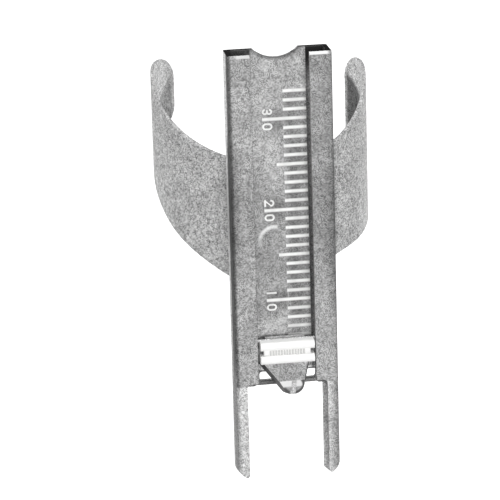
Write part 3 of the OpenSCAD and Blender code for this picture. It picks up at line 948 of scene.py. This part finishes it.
@dataclass(frozen=True)
class NoseSteel(SatinSteel):
    """Satin steel of the index nose, with painted shade on its flanks and rim, a painted highlight on its
    bevel, and painted light along its index line and on its top.
    """

    lean: float = 0.8 * MM
    centre: float = 0.0
    faces_down: Ramp = Ramp(-0.3, -0.2, 1.0, 0.0)
    faces_up: Ramp = Ramp(0.5, 0.8, 0.0, 1.0)
    # Painted light on faces that look up.
    top_light_gain: float = 1.8
    off_index: Ramp = along(0.15, 0.35, 0.0, 1.0)
    # Painted light along the index line at the tip.
    index_line_light: float = 2.2
    # Painted shade on the rim of the tip.
    rim: Ramp = along(0.8, 1.0, 0.0, 1.0)
    rim_right: Ramp = along(0.0, 0.4, 0.0, 1.0)
    rim_low_left: Ramp = along(-0.5, -0.2, 1.0, 0.0)
    bevel_front: Ramp = Ramp(-0.84, -0.76, 1.0, 0.0)
    bevel_rise: Ramp = along(-0.4, -0.05, 0.0, 1.0)
    # Colour of the painted highlight on the bevel.
    highlight_tone: Colour = grey(0.75)
    # Painted shade on the flanks, in this colour.
    flanks: Ramp = Ramp(-0.8, -0.66, 0.0, 1.0)
    flank_shade: Colour = grey(0.07)

    def shade(self, pad: NodePad, colour: Socket) -> Shade:
        """Paint shade on the flanks and the rim, a highlight on the bevel, and light along the index line
        and on the top.

        Args:
            pad: The material's pad.
            colour: The steel's colour.

        Returns:
            The colour of the nose.
        """
        at = pad.here()
        aside = pad.less(at.x, self.lean)
        above = pad.less(at.z, self.centre)
        off_index = pad.spread(pad.size(aside), self.off_index)
        tip = pad.spread(at.nz, self.faces_down)
        up = pad.spread(at.nz, self.faces_up)
        low_left = pad.product(pad.spread(aside, self.rim_low_left), pad.spread(above, self.rim_low_left))
        sides = pad.larger(pad.spread(aside, self.rim_right), low_left)
        out = pad.math("SQRT", pad.square(aside, above))
        rim = pad.product(tip, sides, pad.spread(out, self.rim))
        patch = pad.product(
            off_index, tip, pad.spread(at.ny, self.bevel_front), pad.spread(above, self.bevel_rise)
        )
        index = pad.product(tip, pad.rest(off_index))
        # Painted light along the index line.
        colour = pad.scale(colour, pad.gain(index, self.index_line_light))
        # Painted highlight on the bevel.
        colour = pad.blend(patch, colour, rgba(self.highlight_tone))
        # Painted light on faces that look up.
        colour = pad.tint(up, colour, self.top_light_gain)
        # Painted shade on the flanks and the rim.
        flank_shade = pad.product(pad.spread(at.ny, self.flanks), pad.rest(up))
        dark = pad.product(pad.larger(rim, flank_shade), pad.larger(off_index, pad.rest(tip)))
        return Shade(pad.blend(dark, colour, rgba(self.flank_shade)), None)


@dataclass(frozen=True)
class RunnerSteel(SatinSteel):
    """Steel of the slider's runner, darker as painted shade, with painted light along its upper end."""

    # Painted light on faces that look up the scale.
    top_light_factor: Ramp = Ramp(0.5, 0.8, 1.0, 4.0)

    def shade(self, pad: NodePad, colour: Socket) -> Shade:
        """Colour with painted light on faces that look up the scale."""
        return Shade(pad.scale(colour, pad.spread(pad.here().nz, self.top_light_factor)), None)


@dataclass(frozen=True)
class WhiteFinish:
    """White moulding or enamel with faint mottling and a fine skin."""

    name: str
    tone: Colour
    shade: Colour
    roughness: float
    roughness_swing: float = 0.06
    mottle: float = 0.25
    bump: float = 0.12
    bump_depth: float = 0.01 * MM
    speck_scale: float = 6000.0
    mottle_scale: float = 900.0

    def make(self, kit: EffectKit) -> bpy.types.Material:
        """Build the material.

        Args:
            kit: The shared effects.

        Returns:
            The material.
        """
        material, pad = new_material(self.name)
        grain = kit.place(pad, Effect.GRAIN, Speck_Scale=self.speck_scale, Mottle_Scale=self.mottle_scale)
        share = pad.product(grain.outputs["Mottle"], self.mottle)
        colour = self.wear(pad, pad.blend(share, rgba(self.tone), rgba(self.shade)))
        swing = Ramp(0.0, 1.0, self.roughness - self.roughness_swing, self.roughness + self.roughness_swing)
        rough = pad.spread(grain.outputs["Speck"], swing)
        bump = pad.add(
            "ShaderNodeBump", Strength=self.bump, Distance=self.bump_depth, Height=grain.outputs["Height"]
        )
        shader = pad.add(
            "ShaderNodeBsdfPrincipled", Base_Color=colour, Roughness=rough, Normal=bump.outputs["Normal"]
        )
        pad.add("ShaderNodeOutputMaterial", Surface=shader.outputs[0])
        return material

    def wear(self, pad: NodePad, colour: Socket) -> Socket:
        """Colour of worn places; a plain finish has none."""
        return colour


@dataclass(frozen=True)
class LineFill(WhiteFinish):
    """White fill of the millimetre lines, thin along their edges."""

    zero: float = 0.0
    half_step: float = 0.5
    thin: Ramp = Ramp(0.08, 0.2, 0.0, 0.75)

    def wear(self, pad: NodePad, colour: Socket) -> Socket:
        """Grey the fill towards the edges of each line.

        Args:
            pad: The material's pad.
            colour: The fill's colour.

        Returns:
            The worn colour.
        """
        height = pad.math("DIVIDE", pad.less(pad.here().z, self.zero), MM)
        edge = pad.spread(pad.math("PINGPONG", height, self.half_step), self.thin)
        return pad.blend(edge, colour, rgba(self.shade))


@dataclass
class SubAssembly:
    """Work that all sub-assemblies share."""

    kit: EffectKit
    body: Body = Body.GAUGE
    weld_reach: float = 0.002 * MM
    sharp_angle: float = math.radians(35.0)

    def dress(self, node: Node, material: bpy.types.Material, edge: float = 0.0, steps: int = 2) -> None:
        """Give a solid its finish and break its sharp edges.

        Args:
            node: The solid.
            material: Its finish.
            edge: Width of the broken edges, 0 for none.
            steps: Facets across a broken edge, 1 for a flat chamfer.
        """
        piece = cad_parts[node.value]
        piece.data.materials.clear()
        piece.data.materials.append(material)
        if edge:
            weld = piece.modifiers.new("weld", "WELD")
            weld.merge_threshold = self.weld_reach
            bevel = piece.modifiers.new("broken_edges", "BEVEL")
            bevel.width, bevel.segments = edge, steps
            bevel.use_clamp_overlap = False
            bevel.limit_method, bevel.angle_limit = "ANGLE", self.sharp_angle
        log.info("dressed %s with %s", node.value, material.name)


@dataclass
class Channel(SubAssembly):
    """Folded channel with its two prongs."""

    sheet: float = 0.5 * MM
    edge: float = 0.03 * MM
    reach: float = 0.06 * MM
    inset: float = 0.02 * MM

    def build(self) -> None:
        """Dress the channel, with painted shade inside the fold."""
        low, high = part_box(Node.CHANNEL.value)
        finish = FoldedSteel(
            Slot.SATIN_STEEL.value,
            grey(0.3),
            specular=0.0,
            half_width=high[0] - self.sheet + self.reach,
            front=low[1] + self.sheet - self.inset,
            back=high[1] - self.sheet,
            top=high[2],
            zero=SCALE_ZERO,
        )
        self.dress(Node.CHANNEL, finish.make(self.kit), self.edge)


@dataclass
class Scale(SubAssembly):
    """Graduated plate with its filled lines and numerals."""

    def build(self) -> None:
        """Dress the plate, its lines and its numerals."""
        plate = EtchedSteel(Slot.SCALE_STEEL.value, grey(0.32), zero=SCALE_ZERO, scratch=0.5)
        fill = WhiteFinish(Slot.WHITE_FILL.value, (0.9, 0.9, 0.89), grey(0.5), 0.55, mottle=0.5)
        lines = LineFill("white_lines", (0.95, 0.95, 0.94), grey(0.4), 0.55, mottle=0.3, zero=SCALE_ZERO)
        self.dress(Node.PLATE, plate.make(self.kit))
        self.dress(Node.MARKS, lines.make(self.kit))
        self.dress(Node.NUMERALS, fill.make(self.kit))


@dataclass
class FingerRing(SubAssembly):
    """Open spring band with its saddle and rivets."""

    edge: float = 0.1 * MM
    saddle_edge: float = 0.05 * MM

    def build(self) -> None:
        """Dress the band and what fastens it."""
        band = BandSteel(Slot.SPRING_STEEL.value, grey(0.405), speck=0.8, zero=SCALE_ZERO).make(self.kit)
        steel = SatinSteel("satin_steel_small", grey(0.38)).make(self.kit)
        self.dress(Node.RING, band, self.edge)
        self.dress(Node.SADDLE, steel, self.saddle_edge)
        self.dress(Node.RING_RIVETS, steel)


@dataclass
class Slider(SubAssembly):
    """Captured slider: runner, ribbed grip, index nose, rivets and drag springs."""

    body: Body = Body.SLIDER
    edge: float = 0.04 * MM
    grip_edge: float = 0.06 * MM
    runner_edge: float = 0.2 * MM
    ridges: int = 13
    ridge_facets: int = 6
    ridge_pitch: float = 0.3 * MM
    ridge_half: float = 0.36
    ridge_proud: float = 0.1 * MM
    ridge_inset: float = 0.9
    rib_height: float = 0.95 * MM
    groove: float = 0.5 * MM
    nose_centre: float = 0.88 * MM

    def build(self) -> None:
        """Dress the slider and raise the ridges in its groove."""
        steel = SatinSteel("slider_steel", grey(0.3)).make(self.kit)
        white = WhiteFinish(Slot.WHITE_PLASTIC.value, (0.93, 0.93, 0.92), grey(0.84), 0.4).make(self.kit)
        spring = SatinSteel("leaf_steel", grey(0.5), roughness=0.35).make(self.kit)
        # A darker copy of the slider's steel as painted shade, with painted light on its upper faces.
        dark = RunnerSteel("runner_steel_painted_shade", grey(0.14)).make(self.kit)
        nose = NoseSteel("nose_steel", grey(0.3), centre=SCALE_ZERO + self.nose_centre).make(self.kit)
        # The ridges in the groove get a darker copy of the white plastic, as painted shade.
        groove = WhiteFinish("white_groove_painted_shade", (0.64, 0.64, 0.63), grey(0.5), 0.5).make(self.kit)
        self.dress(Node.RUNNER, dark, self.runner_edge, steps=1)
        self.dress(Node.NOSE, nose, self.edge)
        self.dress(Node.CURSOR_RIVETS, steel)
        self.dress(Node.SPRINGS, spring)
        self.dress(Node.GRIP, white, self.grip_edge)
        self._ridges(groove)

    def _ridges(self, white: bpy.types.Material) -> None:
        """Build the fine upright ridges in the grip's groove.

        Args:
            white: The groove's finish, a darker copy of the white plastic as painted shade.
        """
        low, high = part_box(Node.GRIP.value)
        inset = self.ridge_inset * self.rib_height
        middle = (low[0] + high[0]) / 2
        shape = bmesh.new()
        for number in range(self.ridges):
            x = middle + (number - (self.ridges - 1) / 2) * self.ridge_pitch
            self._ridge(shape, x, low[1] + self.groove, (low[2] + inset, high[2] - inset))
        bmesh.ops.recalc_face_normals(shape, faces=shape.faces)
        mesh = bpy.data.meshes.new("grip_ridges")
        shape.to_mesh(mesh)
        shape.free()
        piece = bpy.data.objects.new("grip_ridges", mesh)
        bpy.context.scene.collection.objects.link(piece)
        mesh.materials.append(white)
        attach(piece, Body.SLIDER.value)
        log.info("built grip_ridges: %d ridges", self.ridges)

    def _ridge(self, shape: bmesh.types.BMesh, x: float, floor: float, span: tuple[float, float]) -> None:
        """Add one ridge of half-round section.

        Args:
            shape: The mesh to add to.
            x: Middle of the ridge.
            floor: Depth of the groove's floor.
            span: Heights of its lower and upper end.
        """
        facets = self.ridge_facets
        rows = []
        for z in span:
            row = []
            for step in range(facets + 1):
                turn = math.pi * step / facets
                across = -self.ridge_half * self.ridge_pitch * math.cos(turn)
                row.append(shape.verts.new((x + across, floor - self.ridge_proud * math.sin(turn), z)))
            rows.append(row)
        for step in range(facets):
            shape.faces.new((rows[0][step], rows[0][step + 1], rows[1][step + 1], rows[1][step]))
        shape.faces.new(rows[1])
        shape.faces.new(rows[0][::-1])
        shape.faces.new((rows[0][0], rows[1][0], rows[1][-1], rows[0][-1]))


class Softbox(NamedTuple):
    """Soft lamp that points at the object, its place given in degrees."""

    name: str
    azimuth: float
    elevation: float
    reach: float
    size: float
    power: float


@dataclass
class Studio:
    """Camera, pale floor and soft light."""

    azimuth: float = -8.198
    elevation: float = 16.098
    roll: float = 1.588
    distance: float = 344.715 * MM
    lens: float = 231.44
    sensor: float = 36.0
    clip: tuple[float, float] = (0.01, 10.0)
    aim: tuple[float, float, float] = (-3.156 * MM, -12.0 * MM, SCALE_ZERO + 15.458 * MM)
    floor_gap: float = 0.15 * MM
    floor_reach: float = 3.0
    floor_sides: int = 64
    floor_tone: Colour = grey(0.8)
    floor_glow: float = 0.8
    sky: Colour = grey(1.0)
    sky_strength: Ramp = Ramp(0.0, 1.0, 0.4, 1.0)
    lamps: tuple[Softbox, ...] = (
        Softbox("key_front", 4.0, 6.0, 500.0 * MM, 120.0 * MM, 1.1),
        Softbox("top_soft", 0.0, 72.0, 400.0 * MM, 160.0 * MM, 0.8),
    )

    def build(self) -> None:
        """Set up the whole stage."""
        self._camera()
        self._floor()
        self._world()
        for lamp in self.lamps:
            self._hang(lamp)
        bpy.context.scene.view_settings.view_transform = "Standard"

    @staticmethod
    def _direction(azimuth: float, elevation: float) -> Vector:
        """Direction from the object.

        Args:
            azimuth: Degrees to the right of -Y.
            elevation: Degrees above the horizon.

        Returns:
            The unit vector.
        """
        a, e = math.radians(azimuth), math.radians(elevation)
        return Vector((math.sin(a) * math.cos(e), -math.cos(a) * math.cos(e), math.sin(e)))

    def _camera(self) -> None:
        """Place the camera at the fitted viewpoint."""
        data = bpy.data.cameras.new("camera")
        data.lens = self.lens
        data.sensor_width = self.sensor
        data.clip_start, data.clip_end = self.clip
        camera = bpy.data.objects.new("camera", data)
        bpy.context.scene.collection.objects.link(camera)
        back = self._direction(self.azimuth, self.elevation)
        level = Vector((math.cos(math.radians(self.azimuth)), math.sin(math.radians(self.azimuth)), 0.0))
        up = back.cross(level)
        turn = math.radians(self.roll)
        right = level * math.cos(turn) - up * math.sin(turn)
        top = level * math.sin(turn) + up * math.cos(turn)
        place = Matrix.Translation(Vector(self.aim) + back * self.distance)
        camera.matrix_world = place @ Matrix((right, top, back)).transposed().to_4x4()
        bpy.context.scene.camera = camera

    def _floor(self) -> None:
        """Lay a pale floor that keeps the object's shadow."""
        mesh = bpy.data.meshes.new("floor")
        shape = bmesh.new()
        bmesh.ops.create_circle(shape, cap_ends=True, segments=self.floor_sides, radius=self.floor_reach)
        shape.to_mesh(mesh)
        shape.free()
        floor = bpy.data.objects.new("floor", mesh)
        floor.location.z = CAD_BOX[0].z - self.floor_gap
        bpy.context.scene.collection.objects.link(floor)
        material, pad = new_material("floor")
        matt = pad.add("ShaderNodeBsdfDiffuse", Color=rgba(self.floor_tone)).outputs[0]
        glow = pad.add("ShaderNodeEmission", Strength=self.floor_glow).outputs[0]
        both = pad.add("ShaderNodeAddShader")
        pad.feed(both.inputs[0], matt)
        pad.feed(both.inputs[1], glow)
        pick = pad.add("ShaderNodeMixShader")
        pad.feed(pick.inputs[0], pad.seen())
        pad.feed(pick.inputs[1], matt)
        pad.feed(pick.inputs[2], both.outputs[0])
        pad.add("ShaderNodeOutputMaterial", Surface=pick.outputs[0])
        mesh.materials.append(material)

    def _world(self) -> None:
        """White surroundings for the eye and for reflections, softer as a light."""
        world = bpy.data.worlds.new("studio")
        world.use_nodes = True
        bpy.context.scene.world = world
        pad = NodePad(world.node_tree)
        strength = pad.spread(pad.seen(), self.sky_strength)
        light = pad.add("ShaderNodeBackground", Color=rgba(self.sky), Strength=strength)
        pad.add("ShaderNodeOutputWorld", Surface=light.outputs[0])

    def _hang(self, box: Softbox) -> None:
        """Hang one softbox that points at the object.

        Args:
            box: The softbox.
        """
        data = bpy.data.lights.new(box.name, "AREA")
        data.size, data.energy = box.size, box.power
        lamp = bpy.data.objects.new(box.name, data)
        back = self._direction(box.azimuth, box.elevation)
        lamp.location = Vector(self.aim) + back * box.reach
        lamp.rotation_mode = "QUATERNION"
        lamp.rotation_quaternion = (-back).to_track_quat("-Z", "Y")
        bpy.context.scene.collection.objects.link(lamp)


def main() -> None:
    """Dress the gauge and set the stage."""
    logging.basicConfig(level=logging.INFO)
    Studio().build()
    kit = EffectKit()
    for assembly in (Channel(kit), Scale(kit), FingerRing(kit), Slider(kit)):
        assembly.build()
        log.info("built %s on body %s", type(assembly).__name__, assembly.body.value)


if __name__ == "__main__":
    main()
